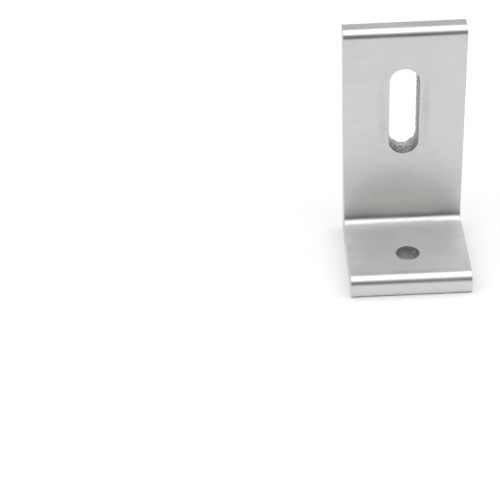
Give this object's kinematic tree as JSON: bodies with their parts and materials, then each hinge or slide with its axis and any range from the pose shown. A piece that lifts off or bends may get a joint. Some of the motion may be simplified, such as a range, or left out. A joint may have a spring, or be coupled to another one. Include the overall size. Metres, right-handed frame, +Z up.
{
  "type": "solar l foot bracket",
  "caption": "L-shaped extruded aluminium mounting foot with a slotted, grooved upright leg and a short base leg with a bolt hole.",
  "frame": {"origin": "on the axis of the base leg's bolt hole, at the underside of the base leg", "axes": "+Z up along the upright leg and along the bolt hole's axis, +Y towards the grooved outer face of the upright leg, +X across the sawn width"},
  "size_m": [0.04, 0.041, 0.08],
  "materials": {
    "bare_aluminium": "mill-finish extruded aluminium with a fine grain along the sawn width, sawn ends and rough-cut slot and hole walls"
  },
  "bodies": {
    "root": {"l_foot_bracket": "bare_aluminium"}
  },
  "joints": []
}
